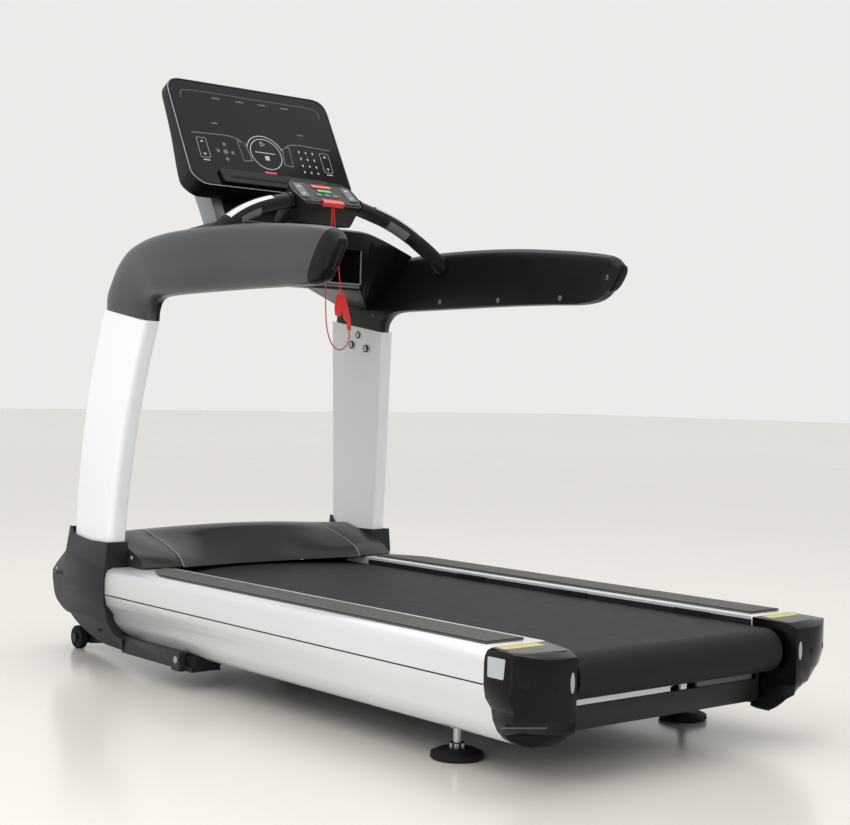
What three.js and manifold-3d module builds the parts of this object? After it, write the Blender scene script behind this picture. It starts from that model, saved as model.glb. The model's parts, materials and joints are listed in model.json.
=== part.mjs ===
// Commercial motorised treadmill: a running deck between two side rails, a motor bay and
// lift mechanism in front, and two uprights carrying handrails, a control pod and a console.
// Millimetres, +Z up, +Y the way the runner faces, X = 0 on the plane of symmetry.
import * as THREE from 'three';
import { mergeVertices } from 'three/addons/utils/BufferGeometryUtils.js';
import Module from 'manifold-3d';

const wasm = await Module();
wasm.setup();

// ---- Driving dimensions ---------------------------------------------------------------
const GAP = 0.4;
const HALF_LENGTH = 1010;

const RAIL = { inner: 310, outer: 467, top: 264, seam: 196, skin: 4, rear: -903, front: 575 };
const STRIP = { inner: 340, outer: 437, rear: -875, front: 474, thick: 4 };
const CAP_REAR = -HALF_LENGTH;

const ROLLER = { radius: 43, z: 199.5, rearY: -946, frontY: 640, half: 303, shaft: 10 };
const BELT = { half: 302, thick: 3, clearance: 0.3 };
const DECK = { half: 308, top: 242.4, thick: 25, rear: -880, front: 560 };
const BEAM = { inner: 292, outer: 352, bottom: 157, top: 217, rear: -895, front: 560 };
const CROSS = { bottom: 86, top: 134, depth: 40 };

const LIFT = { pivotY: 219, pivotZ: 80, wheelY: 923, wheelR: 32, wheelIn: 345, wheelOut: 369 };
const ARM = { inner: 325, outer: 341, height: 36 };
const ACTUATOR = { y: 740, pivotZ: 190, screwR: 10 };

const MOTOR = { y: 850, z: ROLLER.z, radius: 58, shaft: 12, left: -240, right: -60 };
const PULLEY = { inner: 309, outer: 325, rollerR: 41, motorR: 20, beltThick: 4 };

const FOOT = { x: 340, y: -685, radius: 55, pad: 20, stem: 8 };

const BAY = { half: 400, split: 210, skin: 4, seamX: 286 };
const BOOT = { inner: 401.5, outer: 470, skin: 4.5 };
const UPRIGHT = { thick: 48, baseX: 406, baseZ: 345, topX: 359, topZ: 925, bow: 9, skin: 5 };

const GRIP_R = 20;
const CONSOLE = { y: 567.6, z: 1386.5, tilt: 28.5, half: 264, top: 217, bottom: -128 };
const CONSOLE_DEPTH = { top: 34, bottom: 62 };

// ---- Materials ------------------------------------------------------------------------
const finish = (color, roughness, metalness) => ({ color, roughness, metalness });
const LOOKS = {
  anodised: finish(0xd9dbdd, 0.32, 0.9),
  white_paint: finish(0xeceeee, 0.4, 0.1),
  dark_shell: finish(0x4a4e52, 0.45, 0),
  hood_grey: finish(0x46443f, 0.5, 0),
  black_shell: finish(0x151618, 0.4, 0),
  gloss_black: finish(0x0b0b0d, 0.18, 0),
  belt: finish(0x1b1b1c, 0.9, 0),
  strip: finish(0x5b5852, 0.85, 0),
  rubber: finish(0x141414, 0.85, 0),
  steel: finish(0x9a9c9e, 0.35, 1),
  frame_paint: finish(0x17181a, 0.5, 0.2),
  red: finish(0xd8231f, 0.35, 0),
  green: finish(0x1fa04a, 0.4, 0),
  grey_key: finish(0x6d7174, 0.5, 0),
  post_grey: finish(0x8f9396, 0.4, 0.6),
  deck: finish(0x6a5136, 0.7, 0),
  aluminium: finish(0xb9bbbd, 0.4, 0.8),
};

// ---- Solid helpers --------------------------------------------------------------------
function bare(geometry) {
  const copy = geometry.clone();
  copy.deleteAttribute('normal');
  copy.deleteAttribute('uv');
  return mergeVertices(copy, 1e-3);
}

function flipped(geometry) {
  const order = geometry.index.array;
  for (let i = 0; i < order.length; i += 3) {
    [order[i], order[i + 1]] = [order[i + 1], order[i]];
  }
  return geometry;
}

function volume(geometry) {
  const spot = geometry.attributes.position;
  const corner = (i) => new THREE.Vector3().fromBufferAttribute(spot, geometry.index.getX(i));
  let total = 0;
  for (let i = 0; i < geometry.index.count; i += 3) {
    total += corner(i).dot(corner(i + 1).cross(corner(i + 2))) / 6;
  }
  return total;
}

function facingOut(geometry) {
  const merged = bare(geometry);
  return volume(merged) < 0 ? flipped(merged) : merged;
}

function mirrored(geometry) {
  return flipped(bare(geometry).scale(-1, 1, 1));
}

function solid(geometry) {
  const mesh = bare(geometry);
  return new wasm.Manifold(new wasm.Mesh({
    numProp: 3,
    vertProperties: new Float32Array(mesh.attributes.position.array),
    triVerts: new Uint32Array(mesh.index.array),
  }));
}

function surface(manifold) {
  const mesh = manifold.getMesh();
  const geometry = new THREE.BufferGeometry();
  geometry.setAttribute('position', new THREE.BufferAttribute(mesh.vertProperties, 3));
  geometry.setIndex(new THREE.BufferAttribute(mesh.triVerts, 1));
  geometry.computeVertexNormals();
  return geometry;
}

const combine = (method) => (first, ...others) => surface(
  others.reduce((total, other) => total[method](solid(other)), solid(first)),
);
const join = combine('add');
const cut = combine('subtract');
const common = combine('intersect');

// Outline through corners [a, b, ease]; ease is how far back from the corner its curve starts,
// at most nearly half of the shorter side beside it.
function outline(corners, Kind = THREE.Shape) {
  const shape = new Kind();
  corners.forEach(([a, b, ease = 0], i) => {
    const corner = new THREE.Vector2(a, b);
    const before = new THREE.Vector2(...corners.at(i - 1)).sub(corner);
    const after = new THREE.Vector2(...corners[(i + 1) % corners.length]).sub(corner);
    const reach = Math.min(ease, 0.48 * before.length(), 0.48 * after.length());
    before.setLength(reach).add(corner);
    after.setLength(reach).add(corner);
    if (i === 0) {
      shape.moveTo(before.x, before.y);
    } else {
      shape.lineTo(before.x, before.y);
    }
    if (reach > 0) {
      shape.quadraticCurveTo(a, b, after.x, after.y);
    }
  });
  shape.closePath();
  return shape;
}

// Slabs: an outline drawn as (Y, Z), (X, Z) or (X, Y) and run along the remaining axis.
const X_AXIS = new THREE.Vector3(1, 0, 0);
const Y_AXIS = new THREE.Vector3(0, 1, 0);
const Z_AXIS = new THREE.Vector3(0, 0, 1);
const TO_X = new THREE.Matrix4().makeBasis(Y_AXIS, Z_AXIS, X_AXIS);
const TO_Y = new THREE.Matrix4().makeBasis(X_AXIS, Z_AXIS, Y_AXIS.clone().negate());

function extrude(shape, depth, curveSegments) {
  return new THREE.ExtrudeGeometry(shape, { depth, bevelEnabled: false, curveSegments });
}

function slabX(shape, from, to, curveSegments = 6) {
  return bare(extrude(shape, to - from, curveSegments).applyMatrix4(TO_X).translate(from, 0, 0));
}

function slabY(shape, from, to, curveSegments = 6) {
  return bare(extrude(shape, to - from, curveSegments).applyMatrix4(TO_Y).translate(0, to, 0));
}

function slabZ(shape, from, to, curveSegments = 6) {
  return bare(extrude(shape, to - from, curveSegments).translate(0, 0, from));
}

function box(x0, x1, y0, y1, z0, z1) {
  const geometry = new THREE.BoxGeometry(x1 - x0, y1 - y0, z1 - z0);
  return bare(geometry.translate((x0 + x1) / 2, (y0 + y1) / 2, (z0 + z1) / 2));
}

// Body of revolution about X: profile pairs are [x, radius].
function turnedX(profile, segments = 20) {
  const points = profile.map(([x, radius]) => new THREE.Vector2(radius, x));
  return facingOut(new THREE.LatheGeometry(points, segments).rotateZ(-Math.PI / 2));
}

// Body of revolution about Z: profile pairs are [z, radius].
function turnedZ(profile, segments = 20) {
  const points = profile.map(([z, radius]) => new THREE.Vector2(radius, z));
  return facingOut(new THREE.LatheGeometry(points, segments).rotateX(Math.PI / 2));
}

// Points beside an open line, at a distance to its left.
function beside(points, distance) {
  return points.map(([a, b], i) => {
    const here = new THREE.Vector2(a, b);
    const last = new THREE.Vector2(...(points[i - 1] ?? points[i])).sub(here).negate();
    const next = new THREE.Vector2(...(points[i + 1] ?? points[i])).sub(here);
    const into = (last.length() > 0 ? last : next).clone().normalize();
    const out = (next.length() > 0 ? next : last).clone().normalize();
    const mean = into.add(out).normalize();
    const miter = distance / Math.max(0.5, mean.dot(out));
    return [a - mean.y * miter, b + mean.x * miter];
  });
}

// Closed outline of a sheet that follows an open line and has the given thickness to its left.
function sheet(points, thickness) {
  return [...points, ...beside(points, thickness).reverse()];
}

// Closed skin over rings of equal length; flat holds the 2D points used to fill both end rings.
function skin(rings, flat) {
  const count = rings[0].length;
  const position = rings.flat().flatMap((point) => [point.x, point.y, point.z]);
  const index = [];
  for (let ring = 0; ring + 1 < rings.length; ring += 1) {
    for (let i = 0; i < count; i += 1) {
      const a = ring * count + i;
      const b = ring * count + ((i + 1) % count);
      index.push(a, b, a + count, b, b + count, a + count);
    }
  }
  const end = (rings.length - 1) * count;
  const last = count - 1;
  const facesFor = (points) => {
    const turned = THREE.ShapeUtils.isClockWise(points);
    const faces = THREE.ShapeUtils.triangulateShape(turned ? [...points].reverse() : points, []);
    return turned ? faces.map(([a, b, c]) => [last - c, last - b, last - a]) : faces;
  };
  facesFor(flat[0]).forEach(([a, b, c]) => index.push(a, c, b));
  facesFor(flat.at(-1)).forEach(([a, b, c]) => index.push(end + a, end + b, end + c));
  const geometry = new THREE.BufferGeometry();
  geometry.setAttribute('position', new THREE.Float32BufferAttribute(position, 3));
  geometry.setIndex(index);
  return facingOut(geometry);
}

// Skin over sections drawn as (X, Y) outlines at rising Z.
function loftZ(sections) {
  const rings = sections.map(({ z, points }) => points.map(([x, y]) => new THREE.Vector3(x, y, z)));
  const flat = sections.map(({ points }) => points.map(([x, y]) => new THREE.Vector2(x, y)));
  return skin(rings, flat);
}

// Skin over sections drawn as (Y, Z) outlines at rising X.
function loftX(sections) {
  const rings = sections.map(({ x, points }) => points.map(([y, z]) => new THREE.Vector3(x, y, z)));
  const flat = sections.map(({ points }) => points.map(([y, z]) => new THREE.Vector2(y, z)));
  return skin(rings, flat);
}

// Solid tube along a curve.
function tube(curve, radius, sides, steps) {
  const section = new THREE.Shape();
  for (let i = 0; i < sides; i += 1) {
    const angle = (i * 2 * Math.PI) / sides;
    const place = [radius * Math.cos(angle), radius * Math.sin(angle)];
    section[i === 0 ? 'moveTo' : 'lineTo'](...place);
  }
  section.closePath();
  return bare(new THREE.ExtrudeGeometry(section, { extrudePath: curve, steps, curveSegments: 1 }));
}

const spline = (points) => new THREE.CatmullRomCurve3(points.map((p) => new THREE.Vector3(...p)));
const mix = THREE.MathUtils.lerp;

// ---- The assembly ---------------------------------------------------------------------
const treadmill = new THREE.Group();

function add(name, geometry, look, parent = treadmill) {
  const mesh = new THREE.Mesh(geometry, new THREE.MeshStandardMaterial(LOOKS[look]));
  mesh.name = name;
  parent.add(mesh);
  return mesh;
}

// Adds a right-hand piece and its mirror image on the left.
function addPair(name, geometry, look, leftLook = look) {
  add(`${name}_r`, geometry, look);
  add(`${name}_l`, mirrored(geometry), leftLook);
}

// ---- Side rails and tread strips ------------------------------------------------------
const RAIL_LINE = [
  [RAIL.inner, RAIL.top - 28], [RAIL.inner, RAIL.top], [446, RAIL.top], [459, 259],
  [465, 249], [RAIL.outer, 236], [RAIL.outer, RAIL.seam], [462, 170], [446, 148],
  [442, 126], [430, 104], [414, 88], [392, 76], [357, 65],
];

// The line (Y, Z) where the boot meets the rail's front end, from the rail's top downwards.
const RAIL_FIT = [
  [RAIL.front + 1, RAIL.top + GAP], [RAIL.front + 1, 168], [569, 150], [568, 132], [556, 112],
  [534, 94], [500, 88],
];

const railTrim = slabX(outline([
  ...RAIL_FIT.slice(1).map(([y, z]) => [y - 0.6, z]), [440, 86], [440, 40], [640, 40], [640, 168],
]), RAIL.inner - 5, RAIL.outer + 5);
const railSection = sheet(RAIL_LINE, -RAIL.skin);
const rail = cut(slabY(outline(railSection), RAIL.rear, RAIL.front), railTrim);
addPair('side_rail', rail, 'anodised');

const stripPlan = outline([
  [STRIP.inner, STRIP.rear], [STRIP.outer, STRIP.rear], [STRIP.outer, 330, 90],
  [378, STRIP.front - 10, 30], [STRIP.inner, STRIP.front],
]);
const stripBase = RAIL.top + GAP;
addPair('tread_strip', slabZ(stripPlan, stripBase, stripBase + STRIP.thick), 'strip');

// ---- Rear end caps --------------------------------------------------------------------
const capFront = RAIL.rear - GAP;
// Heights, and how far back the cap reaches at each of the stations across it: the underside and
// the outer lower corner curve in towards the rear.
const CAP_STATIONS = [328, 352, 380, 405, 434, 460, RAIL.outer + 1];
const CAP_REACH = [
  [58, [930, 922, 914, 909, 907, 905, 904.5]],
  [75, [960, 950, 937, 921, 911, 906, 905]],
  [96, [986, 963, 942, 924, 911, 907, 905]],
  [108, [1006, 989, 969, 950, 931, 917, 913]],
  [132, [1009, 1008, 1000, 985, 965, 946, 938]],
  [165, [1009, 1009, 1008, 1003, 988, 970, 962]],
  [195, [1009.5, 1009.5, 1009.5, 1007, 996, 980, 970]],
  [280, [1009.5, 1009.5, 1009.5, 1007, 996, 980, 970]],
];
const capPlans = CAP_REACH.map(([z, reach]) => ({
  z,
  points: [
    [RAIL.outer + 1, capFront], [RAIL.inner, capFront],
    ...reach.map((y, i) => [CAP_STATIONS[i], -y]),
  ],
}));
const capSide = outline([
  [capFront, RAIL.top - 1], [-985, 259, 8], [CAP_REAR - 2, 248, 6], [CAP_REAR - 2, 55],
  [capFront, 55],
]);
const capEnd = outline([...RAIL_LINE.slice(1), [330, 62], [RAIL.inner, 70]]);
const capHollow = slabY(outline([
  [328, 135], [400, 135], [426, 152], [438, 170], [438, 250], [328, 250],
]), -950, capFront + 10);
const capBlock = common(
  loftZ(capPlans),
  slabX(capSide, RAIL.inner - 5, RAIL.outer + 5),
  slabY(capEnd, CAP_REAR - 5, capFront),
);
addPair('end_cap', cut(capBlock, capHollow), 'gloss_black');

// ---- Chassis: two beams, two cross members, deck --------------------------------------
function beam() {
  const wall = 5;
  const tubeOuter = box(BEAM.inner, BEAM.outer, BEAM.rear, BEAM.front, BEAM.bottom, BEAM.top);
  const bore = box(BEAM.inner + wall, BEAM.outer - wall, BEAM.rear - 1, BEAM.front + 1,
    BEAM.bottom + wall, BEAM.top - wall);
  return cut(tubeOuter, bore);
}
addPair('chassis_beam', beam(), 'frame_paint');

function crossMember(y, half) {
  const bar = box(-half, half, y - CROSS.depth / 2, y + CROSS.depth / 2, CROSS.bottom, CROSS.top);
  const risers = [-1, 1].map((side) => {
    const near = Math.min(side * (BELT.half + 1.5), side * half);
    const far = Math.max(side * (BELT.half + 1.5), side * half);
    return box(near, far, y - CROSS.depth / 2, y + CROSS.depth / 2, CROSS.top - 5,
      BEAM.bottom - GAP);
  });
  return join(bar, ...risers);
}
add('cross_member_rear', crossMember(BEAM.rear - 10, RAIL.inner - GAP), 'frame_paint');
add('cross_member_front', crossMember(BEAM.front - CROSS.depth / 2 - 1, 324), 'frame_paint');

const deckBottom = DECK.top - DECK.thick;
add('deck_board', box(-DECK.half, DECK.half, DECK.rear, DECK.front, deckBottom, DECK.top), 'deck');

// ---- Rollers and running belt ---------------------------------------------------------
function loop(radiusA, radiusB, yA, yB, z, Kind = THREE.Shape) {
  // Loop round two circles, its straight runs touching both.
  const lean = Math.asin((radiusA - radiusB) / (yB - yA));
  const shape = new Kind();
  const top = Math.PI / 2 - lean;
  shape.absarc(yB, z, radiusB, -top, top, false);
  shape.absarc(yA, z, radiusA, top, 2 * Math.PI - top, false);
  shape.closePath();
  return shape;
}

const beltInner = ROLLER.radius + BELT.clearance;
const beltOuter = beltInner + BELT.thick;
const beltShape = loop(beltOuter, beltOuter, ROLLER.rearY, ROLLER.frontY, ROLLER.z);
beltShape.holes.push(loop(beltInner, beltInner, ROLLER.rearY, ROLLER.frontY, ROLLER.z, THREE.Path));
add('running_belt', slabX(beltShape, -BELT.half, BELT.half, 20), 'belt');

const rearRoller = turnedX([
  [-315, 0], [-315, ROLLER.shaft], [-ROLLER.half, ROLLER.shaft], [-ROLLER.half, ROLLER.radius],
  [ROLLER.half, ROLLER.radius], [ROLLER.half, ROLLER.shaft], [315, ROLLER.shaft], [315, 0],
], 40);
add('rear_roller', rearRoller, 'steel').position.set(0, ROLLER.rearY, ROLLER.z);

const driveRoller = turnedX([
  [-338, 0], [-338, ROLLER.shaft], [-PULLEY.outer - 4, ROLLER.shaft],
  [-PULLEY.outer - 4, PULLEY.rollerR], [-PULLEY.inner + 3, PULLEY.rollerR],
  [-PULLEY.inner + 3, ROLLER.shaft], [-ROLLER.half, ROLLER.shaft], [-ROLLER.half, ROLLER.radius],
  [ROLLER.half, ROLLER.radius], [ROLLER.half, ROLLER.shaft], [338, ROLLER.shaft], [338, 0],
], 40);
add('drive_roller', driveRoller, 'steel').position.set(0, ROLLER.frontY, ROLLER.z);

// ---- Motor, drive belt and controller -------------------------------------------------
const motorBody = cut(
  turnedX([[MOTOR.left, 0], [MOTOR.left, MOTOR.radius], [MOTOR.right, MOTOR.radius],
    [MOTOR.right, 0]], 28),
  turnedX([[MOTOR.left - 1, 0], [MOTOR.left - 1, MOTOR.shaft + 0.6],
    [MOTOR.right + 1, MOTOR.shaft + 0.6], [MOTOR.right + 1, 0]], 16),
);
add('drive_motor', motorBody, 'aluminium').position.set(0, MOTOR.y, MOTOR.z);

const rotor = turnedX([
  [-PULLEY.outer - 4, 0], [-PULLEY.outer - 4, PULLEY.motorR], [-PULLEY.inner + 3, PULLEY.motorR],
  [-PULLEY.inner + 3, MOTOR.shaft], [MOTOR.right + 8, MOTOR.shaft], [MOTOR.right + 8, 56],
  [MOTOR.right + 30, 56], [MOTOR.right + 30, 0],
], 28);
add('motor_rotor', rotor, 'steel').position.set(0, MOTOR.y, MOTOR.z);

const driveGap = 0.5;
const driveShape = loop(PULLEY.rollerR + driveGap + PULLEY.beltThick,
  PULLEY.motorR + driveGap + PULLEY.beltThick, ROLLER.frontY, MOTOR.y, ROLLER.z);
driveShape.holes.push(loop(PULLEY.rollerR + driveGap, PULLEY.motorR + driveGap,
  ROLLER.frontY, MOTOR.y, ROLLER.z, THREE.Path));
add('drive_belt', slabX(driveShape, -PULLEY.outer, -PULLEY.inner, 14), 'rubber');

add('motor_controller', box(90, 300, 770, 915, 118, 172), 'aluminium');

// ---- Front pan, hood and corner covers ------------------------------------------------
const panOuter = [
  [596, 107, 12], [924, 105, 30], [994, 140, 26], [HALF_LENGTH - 1, 196, 10],
  [HALF_LENGTH - 1, BAY.split - 2], [596, BAY.split - 2],
];
const panInner = [
  [560, 107 + BAY.skin], [922, 105 + BAY.skin, 28], [990, 143, 24],
  [HALF_LENGTH - 1 - BAY.skin, 196, 10], [HALF_LENGTH - 1 - BAY.skin, BAY.split + 20],
  [560, BAY.split + 20],
];
const INLET = { left: -296, right: -232, bottom: 150, top: 194, rear: 984 };
const frontPan = cut(
  slabX(outline(panOuter), -BAY.half, BAY.half),
  slabX(outline(panInner), -BAY.half + BAY.skin, BAY.half - BAY.skin),
  turnedZ([[90, 0], [90, 30], [130, 30], [130, 0]], 24).translate(0, ACTUATOR.y - 8, 0),
  box(INLET.left - GAP, INLET.right + GAP, INLET.rear, HALF_LENGTH + 1,
    INLET.bottom - GAP, INLET.top + GAP),
);
add('front_pan', frontPan, 'dark_shell');

// Hood section at a distance x from the middle: tail on the deck, rise, crest, nose. The rise is
// nearly straight in the middle and swells towards the seams.
function hoodLine(x) {
  const wide = Math.min(1, Math.abs(x) / BAY.seamX) ** 2;
  const side = Math.max(0, (Math.abs(x) - BAY.seamX) / (BAY.half - BAY.seamX));
  const tail = [mix(603, 482, wide) + 9 * side, mix(256, 269, wide)];
  const crest = [mix(655, 686, wide) + 15 * side, mix(352, 345, wide) - 3 * side];
  const swell = mix(0.92, 0.56, wide);
  const rise = [0.1, 0.25, 0.45, 0.7].map((t) => [
    mix(tail[0], crest[0], t), mix(tail[1], crest[1], t ** swell),
  ]);
  return [
    tail, ...rise, crest, [750, crest[1] - 2], [810, 330 - 3 * side], [870, 308 - 3 * side],
    [930, 276], [980, 240], [HALF_LENGTH - 3, 218], [HALF_LENGTH, BAY.split],
  ];
}

function hoodSections(from, to, count) {
  return Array.from({ length: count + 1 }, (_, i) => {
    const x = mix(from, to, i / count);
    return { x, points: sheet(hoodLine(x), -BAY.skin) };
  });
}
add('motor_hood', loftX(hoodSections(-BAY.seamX, BAY.seamX, 12)), 'hood_grey');

function cornerCover() {
  const roof = loftX(hoodSections(BAY.seamX + GAP, BAY.half, 4));
  const line = hoodLine(BAY.half);
  const wall = slabX(outline([...line, [690, BAY.split], [690, 262], [579, 268], [496, 265.5]]),
    BAY.half - BAY.skin, BAY.half);
  return join(roof, wall);
}
addPair('corner_cover', cornerCover(), 'hood_grey');

// ---- Power inlet and switch -----------------------------------------------------------
const inletFace = HALF_LENGTH - 1.5;
const inlet = cut(
  box(INLET.left, INLET.right, INLET.rear + 2, inletFace, INLET.bottom, INLET.top),
  box(INLET.left + 5, INLET.left + 33, inletFace - 16, inletFace + 1, 159, 181),
  box(INLET.right - 24, INLET.right - 5, inletFace - 12, inletFace + 1, 158, 186),
);
add('power_inlet', inlet, 'black_shell');
const rocker = slabX(outline([[-8, -12], [1, -12], [-2, 0], [1.5, 12], [-8, 12]]), -8, 8);
add('power_switch', rocker, 'red').position.set(INLET.right - 14.5, inletFace - 1, 172);

// ---- Boots and uprights ---------------------------------------------------------------
const bootTop = [[788, 361, 6], [760, 338, 10], [672, 329, 20], [573, 331], [573, 264.6]];
const bootFront = [
  [500, 61], [594, 63, 30], [668, 78, 30], [742, 104, 24], [792, 140, 24], [808, 195, 30],
  [800, 280, 30],
];
const bootOutline = outline([...bootTop, ...RAIL_FIT, ...bootFront]);
const bootProfile = outline([
  [BOOT.inner, 50], [450, 50], [464, 130, 20], [BOOT.outer, 190, 20], [BOOT.outer, 250, 20],
  [459, 368], [BOOT.inner, 368],
]);
const hollowOutline = outline([
  [784.5, 400], [577.5, 400], [577.5, 270], [580.5, 270], [580.5, 166], [573.5, 149], [572.5, 131],
  [560, 109], [537, 90], [500, 84], [500, 66], [594, 68, 30], [666, 83, 30], [739, 109, 24],
  [787, 143, 24], [803, 195, 30], [795, 280, 30],
]);
const hollowProfile = outline([
  [BOOT.inner + BOOT.skin - 1, 50], [444, 50], [459, 131, 20], [465, 190, 20], [465, 250, 20],
  [456.5, 345], [456, 400], [BOOT.inner + BOOT.skin - 1, 400],
]);
const bootShell = cut(
  common(slabX(bootOutline, BOOT.inner, BOOT.outer), slabY(bootProfile, 480, 820)),
  common(slabX(hollowOutline, BOOT.inner, BOOT.outer), slabY(hollowProfile, 480, 820)),
);
const bootTail = join(
  box(431, 449, 225, 512, 54, 95),
  box(350, 432, 196, 262, 47, 60.5),
  box(431, 449, 224, 262, 47, 60.5),
);
addPair('boot', join(bootShell, bootTail), 'dark_shell');

const REAR_EDGE = new THREE.QuadraticBezierCurve(new THREE.Vector2(584, 290),
  new THREE.Vector2(558, 640), new THREE.Vector2(499, 905));
const FRONT_EDGE = new THREE.QuadraticBezierCurve(new THREE.Vector2(780, 290),
  new THREE.Vector2(782, 650), new THREE.Vector2(734, 942));

// Upright rings: a box section with rounded outer corners that bows and leans in as it rises.
function uprightRings(inset, past) {
  const count = 8;
  return Array.from({ length: count + 1 }, (_, i) => {
    const rear = REAR_EDGE.getPoint(i / count);
    const front = FRONT_EDGE.getPoint(i / count);
    const rise = i === 0 ? -past : (i === count ? past : 0);
    const at = (x, y) => {
      const across = (y - rear.x) / (front.x - rear.x);
      const z = mix(rear.y, front.y, across) + rise;
      const lean = (z - UPRIGHT.baseZ) / (UPRIGHT.topZ - UPRIGHT.baseZ);
      const bow = 4 * UPRIGHT.bow * lean * (1 - lean);
      return new THREE.Vector3(x + mix(UPRIGHT.baseX, UPRIGHT.topX, lean) + bow, y, z);
    };
    const outer = UPRIGHT.thick - inset;
    return [
      at(inset, rear.x + inset), at(inset, front.x - inset), at(outer - 22, front.x - inset),
      at(outer - 7, front.x - inset - 11), at(outer, front.x - inset - 32),
      at(outer, rear.x + inset + 24), at(outer - 5, rear.x + inset + 8),
      at(outer - 16, rear.x + inset),
    ];
  });
}

function uprightSolid(inset, past) {
  const rings = uprightRings(inset, past);
  return skin(rings, rings.map((ring) => ring.map(({ x, y }) => new THREE.Vector2(x, y))));
}
addPair('upright', cut(uprightSolid(0, 0), uprightSolid(UPRIGHT.skin, 20)), 'white_paint');

// ---- Handrails ------------------------------------------------------------------------
// Stations along the handrail: lower edge, upper edge (both Y, Z), inner and outer X.
const ARM_STATIONS = [
  { low: [499, 905.5], high: [734, 942.5], inner: 359, outer: 407 },
  { low: [496, 928], high: [726, 978], inner: 359, outer: 411 },
  { low: [482, 948], high: [694, 1012], inner: 361, outer: 417 },
  { low: [458, 959], high: [644, 1055], inner: 366, outer: 425 },
  { low: [425, 963], high: [578, 1089], inner: 373, outer: 433 },
  { low: [385, 964], high: [493, 1109], inner: 380, outer: 440 },
  { low: [310, 965], high: [390, 1120], inner: 386, outer: 444 },
  { low: [190, 966], high: [220, 1124], inner: 388, outer: 446 },
  { low: [0, 967], high: [0, 1119], inner: 388, outer: 446 },
  { low: [-150, 966], high: [-165, 1107], inner: 391, outer: 450 },
  { low: [-268, 965], high: [-306, 1092], inner: 398, outer: 456 },
  { low: [-316, 975], high: [-361, 1080], inner: 405, outer: 455 },
  { low: [-340, 994], high: [-385, 1060], inner: 412, outer: 451 },
];
const SPLIT = 0.3;

// Section corners as [across from the inner face, up from the lower edge], both 0 to 1.
const OUTER_HALF = [
  [SPLIT, 0], [0.62, 0.01], [0.85, 0.08], [0.97, 0.24], [1, 0.5], [0.97, 0.74], [0.85, 0.91],
  [0.62, 0.99], [SPLIT, 1],
];
const OUTER_HOLLOW = [
  [SPLIT, 0.93], [0.6, 0.93], [0.82, 0.84], [0.9, 0.5], [0.82, 0.16], [0.6, 0.07], [SPLIT, 0.07],
];
const INNER_HALF = [[0, 0.02], [SPLIT - 0.02, 0], [SPLIT - 0.02, 1], [0.18, 0.985], [0, 0.9]];

function armRings(corners) {
  return ARM_STATIONS.map(({ low, high, inner, outer }) => corners.map(([across, up]) => (
    new THREE.Vector3(mix(inner, outer, across), mix(low[0], high[0], up), mix(low[1], high[1], up))
  )));
}

function armSkin(corners) {
  const ends = corners.map(([across, up]) => new THREE.Vector2(across, up));
  return skin(armRings(corners), [ends, ends]);
}
addPair('handrail_outer', armSkin([...OUTER_HALF, ...OUTER_HOLLOW]), 'dark_shell');
addPair('handrail_inner', armSkin(INNER_HALF), 'black_shell');

// ---- Centre tray with a storage cubby open towards the runner --------------------------
const TRAY = { middle: 190, collar: 352, half: 384, rear: 372, front: 732 };
const POCKET = { half: 186, bottom: 1026, top: 1120, back: 556 };

// Sections run from the middle housing out to the handrails, where the wall leans back from the
// rim to the collar: under edge, wall, rim, top, front, underside.
function traySection(x) {
  const out = THREE.MathUtils.clamp((x - TRAY.middle) / (TRAY.collar - TRAY.middle), 0, 1);
  const rim = 1175 - 52 * Math.max(0, (x - 205) / (TRAY.half - 205)) ** 1.3;
  const under = 1022 - 52 * out ** 1.3;
  const rear = [
    [mix(375, 560, out), mix(1010, 972, out)], [mix(TRAY.rear, 396, out), rim - mix(44, 8, out)],
    [mix(TRAY.rear + 4, 392, out), rim - 6], [mix(TRAY.rear + 18, 404, out), rim],
  ];
  if (x > TRAY.collar + 1) {
    return [...rear, [560, 1083], [650, 1034], [696, 994], [699, 985], [696, 982], [566, under]];
  }
  const lip = Math.min(1058, 1058 - 0.42 * (x - 200));
  return [
    ...rear, [560, mix(1176, 1085, out)], [650, mix(1168, 1040, out)],
    [TRAY.front - 20, mix(1140, 1014, out)], [TRAY.front, mix(1110, 1008, out)],
    [TRAY.front - 10, lip], [566, under],
  ];
}
const trayStations = [
  TRAY.half, 370, TRAY.collar + 4, TRAY.collar, 334, 310, 280, 250, 220, TRAY.middle,
];
const traySlices = [...trayStations.map((x) => -x), ...trayStations.reverse()].map((x) => (
  { x, points: traySection(Math.abs(x)) }));
const pocket = box(-POCKET.half, POCKET.half, TRAY.rear - 20, POCKET.back, POCKET.bottom,
  POCKET.top);
// The room that each handrail takes up, a little more than its inner panel.
const ARM_ROOM = [[-0.012, -0.1], [1, -0.1], [1, 1.01], [0.17, 1.01], [-0.012, 0.915]];
const armRoom = armSkin(ARM_ROOM);
const bay = box(-150, 150, 590, 700, 1000, 1146);
// The neck rises between the side members and widens with them up to the console's back.
const neckPanel = common(
  slabX(outline([
    [612, 1160], [650, 1160], [668, 1300], [684, 1402], [632, 1402], [610, 1342],
  ]), -200, 200),
  slabY(outline([[-80, 1160], [80, 1160], [162, 1402], [-162, 1402]]), 600, 700),
);
const trayBody = join(loftX(traySlices), neckPanel);
add('centre_tray', cut(trayBody, pocket, bay, armRoom, mirrored(armRoom)), 'black_shell');

// ---- Control pod, keys and safety key -------------------------------------------------
// The pod's plate slopes up and away from the runner; its frame lies in that plate.
const POD = { y: 284, z: 1251, slope: 39, half: 103, depth: 88 };
const pod = new THREE.Group();
pod.position.set(0, POD.y, POD.z);
pod.rotation.x = THREE.MathUtils.degToRad(POD.slope);
treadmill.add(pod);

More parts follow.
